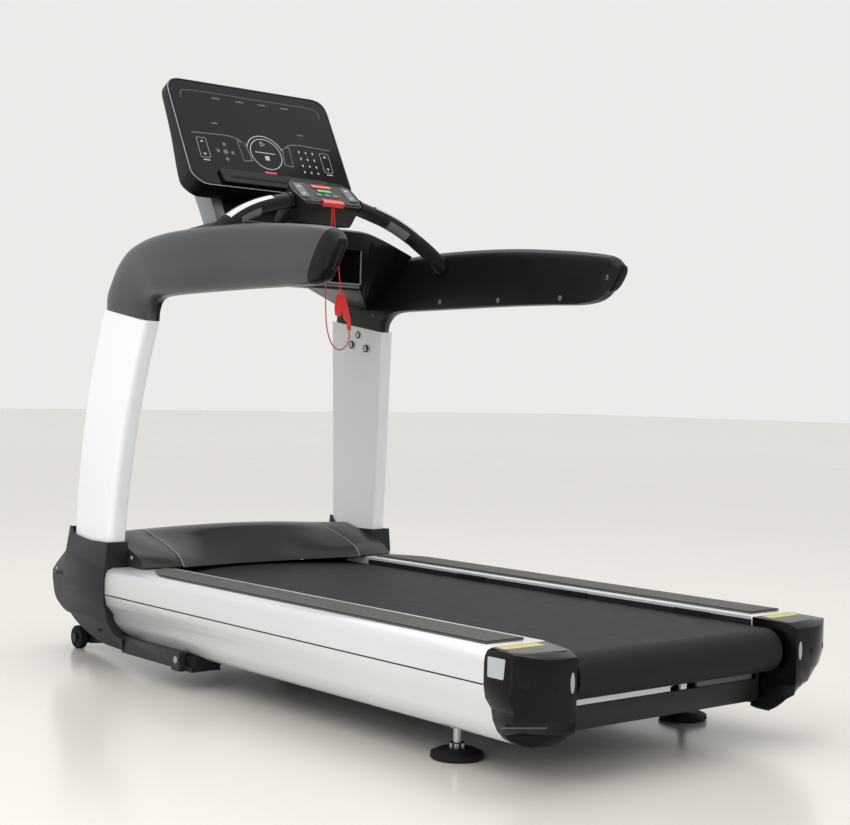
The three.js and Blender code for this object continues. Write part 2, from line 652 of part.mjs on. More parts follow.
const podBack = outline([
  [-46, 0, 3], [-51, -13, 4], [-44, -70, 10], [18, -112, 10], [44, -100, 10], [50, -12, 8],
  [46, 0, 4],
]);
const podPlan = outline([
  [-86, -54, 8], [86, -54, 8], [POD.half, -8, 10], [POD.half - 3, 30, 10], [78, 52, 10],
  [-78, 52, 10], [3 - POD.half, 30, 10], [-POD.half, -8, 10],
]);
const SEATS = {
  stop: { x: 0, y: 27, wide: 62, deep: 11 },
  start: { x: 0, y: 8, wide: 42, deep: 11 },
  keys: [-26, 0, 26].map((x) => ({ x, y: -11, wide: 18, deep: 12 })),
  toggles: [-76, 76].map((x) => ({ x, y: 2, wide: 26, deep: 60 })),
};
const SEAT_DEPTH = 6;
const KEY = { half: 32, rear: -54, front: -36, low: -8, high: 5 };

function seatCut({ x, y, wide, deep }) {
  const room = 0.6;
  return box(x - wide / 2 - room, x + wide / 2 + room, y - deep / 2 - room, y + deep / 2 + room,
    -SEAT_DEPTH, 5);
}

const podBody = cut(
  common(slabX(podBack, -POD.half, POD.half), slabZ(podPlan, -130, 10)),
  ...[SEATS.stop, SEATS.start, ...SEATS.keys, ...SEATS.toggles].map(seatCut),
  box(-KEY.half - 0.6, KEY.half + 0.6, -70, KEY.front + 0.6, KEY.low - 0.6, 5),
);
add('control_pod', podBody, 'black_shell', pod);

function keyCap(name, { x, y, wide, deep }, height, look) {
  const cap = slabZ(outline([
    [-wide / 2, -deep / 2, 2], [wide / 2, -deep / 2, 2], [wide / 2, deep / 2, 2],
    [-wide / 2, deep / 2, 2],
  ]), -SEAT_DEPTH + 2.6, height, 2);
  add(name, cap, look, pod).position.set(x, y, 0);
}
keyCap('stop_button', SEATS.stop, 2.2, 'red');
keyCap('start_button', SEATS.start, 2, 'green');
SEATS.keys.forEach((seat, i) => keyCap(`speed_key_${i + 1}`, seat, 1.8, 'grey_key'));
SEATS.toggles.forEach((seat, i) => keyCap(['incline_toggle', 'speed_toggle'][i], seat, 2.4, 'grey_key'));
const keyProfile = outline([
  [KEY.rear, KEY.low, 2], [KEY.front, KEY.low], [KEY.front, KEY.high, 3], [KEY.rear, KEY.high, 4],
]);
add('safety_key', slabX(keyProfile, -KEY.half, KEY.half, 3), 'red', pod);

// ---- Grip bars and pulse plates -------------------------------------------------------
const gripCurve = spline([
  [97, 291, 1226], [154, 294, 1213], [212, 290, 1195], [266, 284, 1170], [322, 274, 1134],
  [362, 266, 1103], [400, 260, 1068],
]);
const outerSide = box(385.6, 480, 200, 340, 1000, 1200);
const podSide = box(-POD.half - 1, POD.half + 1, 200, 400, 1100, 1300);
addPair('grip_bar', cut(tube(gripCurve, GRIP_R, 14, 18), outerSide, podSide), 'black_shell');

const plateCurve = new THREE.CatmullRomCurve3(
  [0.25, 0.35, 0.45, 0.55].map((t) => gripCurve.getPointAt(t)),
);
const pulsePlate = cut(tube(plateCurve, GRIP_R + 2.2, 14, 8), tube(gripCurve, GRIP_R + GAP, 14, 18));
const plateTop = slabY(outline([[120, 1222], [120, 1300], [320, 1300], [320, 1150]]), 240, 340);
addPair('pulse_plate', common(pulsePlate, plateTop), 'steel');

// ---- Console, its face and its posts --------------------------------------------------
const consoleGroup = new THREE.Group();
consoleGroup.position.set(0, CONSOLE.y, CONSOLE.z);
consoleGroup.rotation.x = THREE.MathUtils.degToRad(-CONSOLE.tilt);
treadmill.add(consoleGroup);

function consoleOutline(inset) {
  const side = CONSOLE.half - inset;
  const top = CONSOLE.top - inset;
  const bottom = CONSOLE.bottom + inset;
  return outline([
    [-side, top, 48], [-side, -96, 14], [-side + 30, bottom, 24], [side - 30, bottom, 24],
    [side, -96, 14], [side, top, 48],
  ]);
}
const shellSide = outline([
  [0, CONSOLE.bottom - 2], [0, CONSOLE.top + 2], [CONSOLE_DEPTH.top, CONSOLE.top + 2],
  [CONSOLE_DEPTH.top + 8, 60, 60], [CONSOLE_DEPTH.bottom, -60, 30],
  [CONSOLE_DEPTH.bottom, CONSOLE.bottom - 2],
]);
const shellRoom = outline([
  [-2, CONSOLE.bottom - 2], [-2, CONSOLE.top + 2], [CONSOLE_DEPTH.top - 4, CONSOLE.top + 2],
  [CONSOLE_DEPTH.top + 4, 60, 60], [CONSOLE_DEPTH.bottom - 4, -60, 30],
  [CONSOLE_DEPTH.bottom - 4, CONSOLE.bottom - 2],
]);
const RIM = 5;
const shell = cut(
  common(slabY(consoleOutline(0), 0, 80, 8), slabX(shellSide, -300, 300, 4)),
  common(slabY(consoleOutline(RIM), -5, 80, 8), slabX(shellRoom, -300, 300, 4)),
);
add('console_shell', shell, 'black_shell', consoleGroup);
add('console_face', slabY(consoleOutline(RIM + GAP), 0.8, 4.8, 8), 'gloss_black', consoleGroup);

// Splayed side members from the tray up to the console's back.
const postSide = outline([
  [606, 1179], [676, 1172], [688, 1300, 30], [700, 1402], [632, 1402], [609, 1342],
]);
const SPLAY = new THREE.Matrix4().set(
  1, 0, 0.34, -0.34 * 1179,
  0, 1, 0, 0,
  0, 0, 1, 0,
  0, 0, 0, 1,
);
addPair('console_post', slabX(postSide, 91, 127).applyMatrix4(SPLAY), 'post_grey');

// ---- Lift frame, wheels and actuator --------------------------------------------------
function liftFrame() {
  const half = ARM.height / 2;
  const arm = outline([
    [LIFT.pivotY - 22, LIFT.pivotZ - half, 14], [560, LIFT.pivotZ - half],
    [LIFT.wheelY - 30, LIFT.wheelR - 16, 20], [LIFT.wheelY + 18, LIFT.wheelR - 16, 12],
    [LIFT.wheelY + 18, LIFT.wheelR + 16, 12], [LIFT.wheelY - 40, LIFT.pivotZ, 30],
    [600, LIFT.pivotZ + half], [LIFT.pivotY - 22, LIFT.pivotZ + half, 14],
  ]);
  const arms = [-1, 1].map((side) => slabX(arm, Math.min(side * ARM.inner, side * ARM.outer),
    Math.max(side * ARM.inner, side * ARM.outer)));
  const bars = [[LIFT.pivotY - 15, LIFT.pivotY + 15], [ACTUATOR.y - 60, ACTUATOR.y - 24]].map(
    ([from, to]) => box(-ARM.inner - 1, ARM.inner + 1, from, to, 64, 92));
  const lugs = [-1, 1].map((side) => box(side * 19 - 4, side * 19 + 4, ACTUATOR.y - 30,
    ACTUATOR.y + 14, 66, 92));
  const stubs = [-1, 1].map((side) => turnedX([
    [side * (ARM.outer - 1), 0], [side * (ARM.outer - 1), 8], [side * (LIFT.wheelOut + 1), 8],
    [side * (LIFT.wheelOut + 1), 13], [side * (LIFT.wheelOut + 6), 13],
    [side * (LIFT.wheelOut + 6), 0]], 16).translate(0, LIFT.wheelY, LIFT.wheelR));
  return join(...arms, ...bars, ...lugs, ...stubs);
}
add('lift_frame', liftFrame(), 'frame_paint');

for (const [name, side] of [['l', -1], ['r', 1]]) {
  const half = (LIFT.wheelOut - LIFT.wheelIn) / 2;
  const bore = 8.4;
  const wheel = turnedX([
    [-half, bore], [half, bore], [half, LIFT.wheelR - 3], [half - 3, LIFT.wheelR],
    [-half + 3, LIFT.wheelR], [-half, LIFT.wheelR - 3], [-half, bore],
  ], 32);
  const middle = side * (LIFT.wheelIn + LIFT.wheelOut) / 2;
  add(`front_wheel_${name}`, wheel, 'rubber').position.set(middle, LIFT.wheelY, LIFT.wheelR);
}

const actuator = cut(
  join(box(-34, 34, -34, 34, -22, 34), turnedX([[30, 0], [30, 30], [150, 30], [150, 0]], 20)),
  turnedZ([[-30, 0], [-30, ACTUATOR.screwR + 0.8], [40, ACTUATOR.screwR + 0.8], [40, 0]], 16),
);
add('lift_motor', actuator, 'aluminium').position.set(0, ACTUATOR.y, ACTUATOR.pivotZ);
const screwDrop = ACTUATOR.pivotZ - LIFT.pivotZ;
const screw = turnedZ([
  [-screwDrop - 14, 0], [-screwDrop - 14, 12], [-screwDrop + 14, 12],
  [-screwDrop + 14, ACTUATOR.screwR], [128, ACTUATOR.screwR], [128, 0],
], 16);
add('lift_screw', screw, 'steel').position.set(0, ACTUATOR.y, ACTUATOR.pivotZ);

// ---- Rear levelling feet --------------------------------------------------------------
const footProfile = [
  [0, 0], [0, FOOT.radius - 4], [4, FOOT.radius], [13, FOOT.radius - 1], [FOOT.pad, 38],
  [FOOT.pad, 15], [32, 15], [32, FOOT.stem], [62, FOOT.stem], [62, 14], [74, 14],
  [74, FOOT.stem], [BEAM.bottom - 3, FOOT.stem], [BEAM.bottom - 3, 0],
];
for (const [name, side] of [['l', -1], ['r', 1]]) {
  const foot = turnedZ(footProfile, 28);
  add(`levelling_foot_${name}`, foot, 'rubber').position.set(side * FOOT.x, FOOT.y, 0);
}

// ---- Safety lanyard -------------------------------------------------------------------
const CORD_R = 1.6;
const CORD_Y = 243;
const strandA = spline([
  [3, 248, 1209.4], [3, 246, 1190], [4, CORD_Y, 1160], [9, CORD_Y, 1120], [17, CORD_Y, 1065],
  [24, CORD_Y, 1015], [27, CORD_Y, 990],
]);
const strandB = spline([
  [-3, 248, 1209.4], [-4, 246, 1190], [-8, CORD_Y, 1150], [-15, CORD_Y, 1090],
  [-21, CORD_Y, 1030], [-21, CORD_Y, 960], [-15, CORD_Y, 895], [2, CORD_Y, 855],
  [26, CORD_Y, 842], [46, CORD_Y, 852], [57, CORD_Y, 873], [56, CORD_Y, 894],
]);
add('safety_cord_a', tube(strandA, CORD_R, 8, 40), 'red');
add('safety_cord_b', tube(strandB, CORD_R, 8, 70), 'red');
const clip = slabY(outline([
  [19, 989.6, 3], [34, 989.6, 4], [45, 966, 8], [58, 922, 5], [60, 894.6, 2], [53, 894.6, 2],
  [50, 916, 3], [40, 924, 4], [31, 957, 3], [27, 931, 4], [13, 930, 4], [9, 952, 8],
]), CORD_Y - 4, CORD_Y + 4, 2);
add('safety_clip', clip, 'red');

export default treadmill;
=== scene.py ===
import json
import math

import bmesh
import bpy
from mathutils import Matrix, Vector


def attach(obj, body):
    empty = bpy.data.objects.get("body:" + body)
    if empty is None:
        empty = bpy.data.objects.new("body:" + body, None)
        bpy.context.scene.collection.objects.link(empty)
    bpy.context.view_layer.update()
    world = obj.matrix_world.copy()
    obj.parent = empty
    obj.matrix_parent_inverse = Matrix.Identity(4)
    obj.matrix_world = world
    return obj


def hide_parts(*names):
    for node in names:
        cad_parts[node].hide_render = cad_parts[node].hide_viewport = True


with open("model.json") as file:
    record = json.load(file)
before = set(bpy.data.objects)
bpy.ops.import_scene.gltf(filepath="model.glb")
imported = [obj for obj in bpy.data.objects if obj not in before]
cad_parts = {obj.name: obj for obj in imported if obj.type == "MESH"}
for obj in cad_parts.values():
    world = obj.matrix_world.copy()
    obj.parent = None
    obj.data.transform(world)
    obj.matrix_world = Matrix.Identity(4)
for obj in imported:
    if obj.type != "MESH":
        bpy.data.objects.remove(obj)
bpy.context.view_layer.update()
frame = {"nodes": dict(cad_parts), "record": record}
MM = 0.001
BODY_OF = {n: b for b, members in frame["record"]["behaviour"]["bodies"].items() for n in members}


# ---- Curves and outlines, in millimetres ------------------------------------------------
def mix(a, b, t):
    return a + (b - a) * t


def through(points, steps):
    """Centripetal Catmull-Rom line through points of any size, with this many steps to each span."""
    ends = [2 * Vector(points[0]) - Vector(points[1])], [2 * Vector(points[-1]) - Vector(points[-2])]
    p = ends[0] + [Vector(q) for q in points] + ends[1]
    line = []
    for i in range(1, len(p) - 2):
        t = [0.0]
        for a, b in zip(p[i - 1:i + 2], p[i:i + 3]):
            t.append(t[-1] + max((b - a).length, 1e-6) ** 0.5)
        for k in range(steps + (i == len(p) - 3)):
            s = mix(t[1], t[2], k / steps)
            a1 = p[i - 1].lerp(p[i], (s - t[0]) / (t[1] - t[0]))
            a2 = p[i].lerp(p[i + 1], (s - t[1]) / (t[2] - t[1]))
            a3 = p[i + 1].lerp(p[i + 2], (s - t[2]) / (t[3] - t[2]))
            b1 = a1.lerp(a2, (s - t[0]) / (t[2] - t[0]))
            b2 = a2.lerp(a3, (s - t[1]) / (t[3] - t[1]))
            line.append(tuple(b1.lerp(b2, (s - t[1]) / (t[2] - t[1]))))
    return line


def eased(corners, steps=8):
    """Closed outline through corners (a, b, ease), with a quadratic curve at each eased corner."""
    out = []
    for i, (a, b, *ease) in enumerate(corners):
        here = Vector((a, b))
        before = Vector(corners[i - 1][:2]) - here
        after = Vector(corners[(i + 1) % len(corners)][:2]) - here
        reach = min(ease[0] if ease else 0, 0.48 * before.length, 0.48 * after.length)
        if reach == 0:
            out.append((a, b))
            continue
        p, q = here + before.normalized() * reach, here + after.normalized() * reach
        for k in range(steps + 1):
            t = k / steps
            out.append(tuple(p * (1 - t) ** 2 + here * 2 * t * (1 - t) + q * t * t))
    return out


def ellipse(u, v, ru, rv=None, count=32, start=0.0, sweep=360.0):
    rv = ru if rv is None else rv
    full = abs(sweep) >= 360
    span = count if full else count - 1
    angles = [math.radians(start + sweep * k / span) for k in range(count)]
    return [(u + ru * math.cos(a), v + rv * math.sin(a)) for a in angles]


def box_outline(u0, u1, v0, v1, ease=0.0):
    return eased([(u0, v0, ease), (u1, v0, ease), (u1, v1, ease), (u0, v1, ease)], 5)


# ---- Materials --------------------------------------------------------------------------
def linear(value):
    return value / 12.92 if value <= 0.04045 else ((value + 0.055) / 1.055) ** 2.4


def shade(color, factor):
    return tuple(min(1.0, linear(c / 255) * factor) for c in color) + (1.0,)


def new_look(name):
    look = bpy.data.materials.new(name)
    look.use_nodes = True
    nodes, links = look.node_tree.nodes, look.node_tree.links
    return look, nodes, links, nodes["Principled BSDF"], nodes.new("ShaderNodeTexCoord").outputs["Object"]


def ramp(nodes, links, source, stops):
    node = nodes.new("ShaderNodeValToRGB")
    links.new(source, node.inputs[0])
    elements = node.color_ramp.elements
    elements[0].position, elements[0].color = stops[0]
    elements[1].position, elements[1].color = stops[-1]
    for position, color in stops[1:-1]:
        elements.new(position).color = color
    return node.outputs[0]


def noise(nodes, links, coords, scale, detail=3.0, stretch=None):
    node = nodes.new("ShaderNodeTexNoise")
    node.inputs["Scale"].default_value = scale
    node.inputs["Detail"].default_value = detail
    if stretch:
        mapping = nodes.new("ShaderNodeMapping")
        mapping.inputs["Scale"].default_value = stretch
        links.new(coords, mapping.inputs[0])
        coords = mapping.outputs[0]
    links.new(coords, node.inputs["Vector"])
    return node.outputs["Fac"]


def finish(name, color, rough, metal=0.0, spread=0.07, scale=5.0, grain=900.0, bump=0.12, depth=0.0002,
           stretch=None, coat=0.0, rough_spread=0.06, specular=0.5):
    """Material whose colour and roughness drift softly, with a fine grain in its surface."""
    look, nodes, links, bsdf, coords = new_look(name)
    soft = noise(nodes, links, coords, scale)
    links.new(ramp(nodes, links, soft, [(0.3, shade(color, 1 - spread)), (0.7, shade(color, 1 + spread))]),
              bsdf.inputs["Base Color"])
    fine = noise(nodes, links, coords, grain, 2.0, stretch)
    span = nodes.new("ShaderNodeMapRange")
    span.inputs["To Min"].default_value = max(0.03, rough - rough_spread)
    span.inputs["To Max"].default_value = rough + rough_spread
    links.new(noise(nodes, links, coords, scale * 4, 4.0, stretch), span.inputs["Value"])
    links.new(span.outputs[0], bsdf.inputs["Roughness"])
    relief = nodes.new("ShaderNodeBump")
    relief.inputs["Strength"].default_value = bump
    relief.inputs["Distance"].default_value = depth
    links.new(fine, relief.inputs["Height"])
    links.new(relief.outputs[0], bsdf.inputs["Normal"])
    bsdf.inputs["Metallic"].default_value = metal
    bsdf.inputs["Specular IOR Level"].default_value = specular
    bsdf.inputs["Coat Weight"].default_value = coat
    bsdf.inputs["Coat Roughness"].default_value = 0.12
    return look


LOOKS = {
    "anodised": finish("anodised", (222, 224, 226), 0.3, 0.45, 0.02, 3, 700, 0.05, stretch=(1, 0.02, 1)),
    "white_paint": finish("white_paint", (236, 238, 240), 0.34, 0, 0.02, 3, 700, 0.06, coat=0.15),
    "dark_shell": finish("dark_shell", (60, 63, 65), 0.3, 0.1, 0.05, 4, 1400, 0.15, specular=0.4),
    "boot_shell": finish("boot_shell", (28, 31, 34), 0.34, 0, 0.05, 4, 1400, 0.2, specular=0.25),
    "hood_grey": finish("hood_grey", (46, 45, 42), 0.34, 0, 0.05, 4, 1400, 0.2, specular=0.35),
    "black_shell": finish("black_shell", (19, 20, 21), 0.34, 0, 0.08, 6, 1300, 0.2, specular=0.22),
    "gloss_black": finish("gloss_black", (7, 7, 8), 0.18, 0, 0.1, 5, 500, 0.02, specular=0.2),
    "tip_black": finish("tip_black", (14, 15, 16), 0.4, 0, 0.08, 6, 1300, 0.1, specular=0.2),
    "face_black": finish("face_black", (7, 7, 9), 0.1, 0, 0.1, 5, 500, 0.01, specular=0.12),
    "belt": finish("belt", (27, 27, 28), 0.6, 0, 0.05, 7, 800, 0.5, 0.0004, specular=0.2),
    "strip": finish("strip", (82, 80, 76), 0.55, 0, 0.05, 8, 1000, 0.4, specular=0.25),
    "rubber": finish("rubber", (22, 22, 23), 0.7, 0, 0.1, 9, 900, 0.35, specular=0.2),
    "steel": finish("steel", (176, 178, 180), 0.28, 1, 0.06, 12, 1200, 0.1, stretch=(1, 0.1, 1)),
    "frame_paint": finish("frame_paint", (26, 27, 29), 0.42, 0, 0.08, 8, 1000, 0.3, specular=0.3),
    "red": finish("red", (214, 40, 34), 0.35, 0, 0.06, 14, 900, 0.08, coat=0.2),
    "cord_red": finish("cord_red", (206, 30, 28), 0.6, 0, 0.12, 60, 1800, 0.6, specular=0.3),
    "green": finish("green", (44, 160, 84), 0.38, 0, 0.06, 14, 900, 0.08, coat=0.2),
    "grey_key": finish("grey_key", (98, 102, 105), 0.45, 0, 0.05, 14, 1000, 0.12, specular=0.3),
    "post_grey": finish("post_grey", (158, 163, 167), 0.36, 0.3, 0.05, 5, 900, 0.1),
    "deck": finish("deck", (120, 88, 56), 0.55, 0, 0.12, 9, 600, 0.3, stretch=(1, 0.08, 1)),
    "aluminium": finish("aluminium", (180, 182, 184), 0.4, 0.9, 0.06, 8, 900, 0.25),
    "print": finish("print", (176, 181, 185), 0.5, 0, 0.03, 20, 600, 0.03),
    "print_grey": finish("print_grey", (86, 92, 97), 0.5, 0, 0.03, 20, 600, 0.03),
    "label_yellow": finish("label_yellow", (196, 186, 104), 0.5, 0, 0.04, 20, 600, 0.05),
    "label_grey_and_slot_highlight": finish("label_grey_and_slot_highlight", (92, 92, 90), 0.5, 0, 0.05, 30, 600, 0.05),
}


# ---- Mesh building ----------------------------------------------------------------------
SIDES = (("l", -1), ("r", 1))
PIECE_WELD = 2e-5  # metres
NODE_WELD = 1e-5  # metres
FLAT_DEGREES = 1.5


def piece(name, verts, faces, look, body="base", bevel=0.0, angle=38, segments=2, slot=None,
          stands_for=()):
    """A mesh piece from points in millimetres, welded, facing out, riding on a body."""
    bm = bmesh.new()
    made = [bm.verts.new(Vector(v) * MM) for v in verts]
    for face in faces:
        if len(set(face)) > 2:
            bm.faces.new([made[i] for i in face])
    bmesh.ops.remove_doubles(bm, verts=bm.verts, dist=PIECE_WELD)
    bmesh.ops.recalc_face_normals(bm, faces=bm.faces)
    return finished(name, bm, look, body, bevel, angle, segments, stands_for)


def finished(name, bm, look, body, bevel, angle, segments, stands_for):
    """The object made from a bmesh: material, smooth or bevelled edges, body and node."""
    mesh = bpy.data.meshes.new(name)
    bm.to_mesh(mesh)
    bm.free()
    mesh.materials.append(LOOKS[look])
    for polygon in mesh.polygons:
        polygon.use_smooth = True
    obj = bpy.data.objects.new(name, mesh)
    bpy.context.scene.collection.objects.link(obj)
    if bevel:
        mod = obj.modifiers.new("bevel", "BEVEL")
        mod.width = bevel * MM
        mod.segments = segments
        mod.limit_method = "ANGLE"
        mod.angle_limit = math.radians(angle)
        mod.harden_normals = True
    else:
        mesh.set_sharp_from_angle(angle=math.radians(angle))
    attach(obj, body)
    if stands_for:
        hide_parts(*stands_for)
    return obj


def refined(node, look, bevel, angle, segments=2):
    """The CAD node again as a clean mesh with rounded edges, standing for it."""
    bm = bmesh.new()
    bm.from_mesh(frame["nodes"][node].data)
    bmesh.ops.remove_doubles(bm, verts=bm.verts, dist=NODE_WELD)
    bmesh.ops.dissolve_limit(bm, angle_limit=math.radians(FLAT_DEGREES), verts=bm.verts, edges=bm.edges)
    return finished(node + ".fine", bm, look, BODY_OF[node], bevel, angle, segments, (node,))


PLACE = {
    "x": lambda u, v, w: (w, u, v),
    "y": lambda u, v, w: (u, w, v),
    "z": lambda u, v, w: (u, v, w),
}


def run_faces(base, n):
    """Ends and walls of an outline of n points drawn twice, from vertex base on."""
    ends = [tuple(range(base, base + n)), tuple(range(base + n, base + 2 * n))]
    return ends + [(base + i, base + (i + 1) % n, base + n + (i + 1) % n, base + n + i) for i in range(n)]


def islands(name, outlines, axis, lo, hi, look, at=None, **more):
    """Closed outlines drawn across an axis and run along it, as one piece; at places them by a matrix."""
    put = PLACE[axis]
    verts, faces = [], []
    for line in outlines:
        faces += run_faces(len(verts), len(line))
        made = [put(u, v, w) for w in (lo, hi) for u, v in line]
        verts += [at @ Vector(v) for v in made] if at is not None else made
    return piece(name, verts, faces, look, **more)


def slab(name, line, axis, lo, hi, look, at=None, **more):
    """One closed outline run along an axis."""
    return islands(name, [line], axis, lo, hi, look, at, **more)


def loft(name, rings, look, **more):
    """Skin over rings of equal size, closed at both ends."""
    n = len(rings[0])
    verts = [p for ring in rings for p in ring]
    faces = [(r * n + i, r * n + (i + 1) % n, (r + 1) * n + (i + 1) % n, (r + 1) * n + i)
             for r in range(len(rings) - 1) for i in range(n)]
    faces += [tuple(range(n)), tuple(range((len(rings) - 1) * n, len(rings) * n))]
    return piece(name, verts, faces, look, **more)


def turned(name, profile, origin, axis, look, count=40, **more):
    """Turned piece: profile pairs are (distance along the axis, radius)."""
    way = Vector(axis).normalized()
    side = way.orthogonal().normalized()
    other = way.cross(side)
    rings = []
    for along, radius in profile:
        centre = Vector(origin) + way * along
        rings.append([tuple(centre + (side * math.cos(a) + other * math.sin(a)) * max(radius, 0.001))
                      for a in (2 * math.pi * k / count for k in range(count))])
    return loft(name, rings, look, **more)


def screw_head(name, origin, axis, radius, look="steel", body="base", height=2.2, hex_size=0.5):
    """Button-head screw with a hexagonal socket."""
    deep = height * 0.55
    turned(name, [(-0.5, radius), (height * 0.35, radius), (height * 0.8, radius * 0.8),
                  (height, radius * hex_size), (height - deep, radius * hex_size * 0.96)],
           origin, axis, look, count=24, body=body, angle=50)


def mirror(points, side):
    return [(side * x, y, z) for x, y, z in points]


def across(a, b, side):
    """Two X values taken to one side, the smaller first."""
    return sorted((side * a, side * b))


def bar(points, width):
    """Outline of a line of even width through points in a plane."""
    line = [Vector(q) for q in points]
    left, right = [], []
    for i, q in enumerate(line):
        way = (line[min(i + 1, len(line) - 1)] - line[max(i - 1, 0)]).normalized()
        off = Vector((-way.y, way.x)) * width / 2
        left.append(tuple(q + off))
        right.append(tuple(q - off))
    return left + right[::-1]


def arc_bar(u, v, radius, width, start, sweep):
    return bar(ellipse(u, v, radius, count=28, start=start, sweep=sweep), width)


# ---- Camera -----------------------------------------------------------------------------
CAMERA_AT = (-2.4087, -3.0833, 0.7376)
CAMERA_TURN = (39.36, -0.7615, 1.167)  # heading, pitch and roll in degrees, fitted to the photograph
CAMERA_LENS = 66.65


def place_camera():
    heading, pitch, roll = (math.radians(a) for a in CAMERA_TURN)
    forward = Vector((math.sin(heading) * math.cos(pitch), math.cos(heading) * math.cos(pitch),
                      math.sin(pitch)))
    right = Vector((math.cos(heading), -math.sin(heading), 0))
    up = right.cross(forward)
    rightward = right * math.cos(roll) + up * math.sin(roll)
    upward = up * math.cos(roll) - right * math.sin(roll)
    data = bpy.data.cameras.new("camera")
    data.sensor_width = 36
    data.lens = CAMERA_LENS
    camera = bpy.data.objects.new("camera", data)
    bpy.context.scene.collection.objects.link(camera)
    turn = Matrix((rightward, upward, -forward)).transposed().to_4x4()
    camera.matrix_world = Matrix.Translation(CAMERA_AT) @ turn
    bpy.context.scene.camera = camera


place_camera()


# ---- Safety lanyard ---------------------------------------------------------------------
STRAND_A = [(3, 248, 1209.4), (3, 246, 1190), (4, 243, 1160), (9, 243, 1120), (17, 243, 1065),
            (24, 243, 1015), (27, 243, 990)]
STRAND_B = [(-3, 248, 1209.4), (-4, 246, 1190), (-8, 243, 1150), (-15, 243, 1090), (-21, 243, 1030),
            (-21, 243, 960), (-15, 243, 895), (2, 243, 855), (26, 243, 842), (46, 243, 852),
            (57, 243, 873), (56, 243, 894)]


STRAND_RADIUS = 1.6


def strand(name, points, steps, node):
    """A lanyard strand through points, and its length in metres."""
    line = through(points, steps)
    data = bpy.data.curves.new(name, "CURVE")
    data.dimensions = "3D"
    data.bevel_depth = STRAND_RADIUS * MM
    data.bevel_resolution = 5
    spline = data.splines.new("POLY")
    spline.points.add(len(line) - 1)
    for point, place in zip(spline.points, line):
        point.co = (*(Vector(place) * MM), 1)
    spline.use_smooth = True
    data.materials.append(LOOKS["cord_red"])
    obj = bpy.data.objects.new(name, data)
    bpy.context.scene.collection.objects.link(obj)
    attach(obj, "safety_key")
    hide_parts(node)
    return obj, sum((Vector(b) - Vector(a)).length for a, b in zip(line, line[1:])) * MM


for label, points, steps in (("a", STRAND_A, 6), ("b", STRAND_B, 3)):
    obj, length = strand(f"lanyard_{label}", points, steps, f"safety_cord_{label}")


# ---- Running deck -----------------------------------------------------------------------
CAP_X = [328, 352, 380, 405, 434, 460, 468]
CAP_REACH = [
    (96, (986, 963, 942, 924, 911, 907, 905)), (108, (1006, 989, 969, 950, 931, 917, 913)),
    (132, (1009, 1008, 1000, 985, 965, 946, 938)), (165, (1009, 1009, 1008, 1003, 988, 970, 962)),
    (195, (1009.5, 1009.5, 1009.5, 1007, 996, 980, 970)), (280, (1009.5, 1009.5, 1009.5, 1007, 996, 980, 970)),
]


def cap_rear(x, z):
    """How far back the end cap's rear face lies at a place on it."""
    row = max(i for i in range(len(CAP_REACH) - 1) if i == 0 or CAP_REACH[i][0] <= z)
    col = max(i for i in range(len(CAP_X) - 1) if i == 0 or CAP_X[i] <= x)
    (z0, low), (z1, high) = CAP_REACH[row], CAP_REACH[row + 1]
    share = (x - CAP_X[col]) / (CAP_X[col + 1] - CAP_X[col])
    return mix(mix(low[col], low[col + 1], share), mix(high[col], high[col + 1], share),
               (z - z0) / (z1 - z0))


def cap_top(name, outline, side, look):
    """Thin label on the end cap's sloping top."""
    verts = [(side * x, y, 263 + (y + 903) * 4 / 82 + up) for up in (-1, 0.5) for x, y in outline]
    piece(name, verts, run_faces(0, len(outline)), look)


def cap_mark(name, outlines, side, look):
    """Shallow marks that follow the end cap's rear face."""
    verts, faces = [], []
    for line in outlines:
        faces += run_faces(len(verts), len(line))
        verts += [(side * x, deep - cap_rear(x, z), z) for deep in (4, -0.5) for x, z in line]
    piece(name, verts, faces, look)


def side_shells(tag):
    refined(f"side_rail_{tag}", "anodised", 1.2, 40)
    refined(f"end_cap_{tag}", "gloss_black", 2.5, 42, 3)
    refined(f"tread_strip_{tag}", "strip", 0.8, 40)
    refined(f"boot_{tag}", "boot_shell", 1.6, 40, 3)


def rail_lines(tag, side):
    """The groove along the rail's outer side and the bright edge beside the belt."""
    seam = [(side * 466.3, -902), (side * 467.5, -902), (side * 467.5, 574), (side * 466.3, 574)]
    slab(f"rail_seam_{tag}", seam, "z", 194.6, 197.2, "rubber")
    edge = [(side * 310.2, -900), (side * 309.4, -900), (side * 309.4, 480), (side * 310.2, 480)]
    slab(f"rail_edge_{tag}", edge, "z", 256, 263.8, "anodised")


def tread_front(x):
    """How far forward the tread strip's top reaches at an X."""
    return mix(474, 464, (x - 340) / 38) if x < 378 else mix(462, 352, ((x - 378) / 59) ** 1.6)


def tread_relief(tag, side):
    """Ribs along the tread strip and the dark border round it."""
    ribs = []
    for lo, hi in ((343.5, 364), (366, 387), (389, 410), (412, 433.5)):
        ribs.append([(side * lo, -871), (side * hi, -871), (side * hi, tread_front(hi) - 5),
                     (side * lo, tread_front(lo) - 5)])
    islands(f"tread_ribs_{tag}", ribs, "z", 268.2, 269.3, "strip")
    border = [[(side * 340.2, -874), (side * 342.2, -874), (side * 342.2, 468), (side * 340.2, 470)],
              [(side * 434.8, -874), (side * 436.8, -874), (side * 436.8, 322), (side * 434.8, 326)],
              [(side * 340.2, -874.6), (side * 436.8, -874.6), (side * 436.8, -871), (side * 340.2, -871)]]
    islands(f"tread_border_{tag}", border, "z", 268.1, 269.0, "rubber")


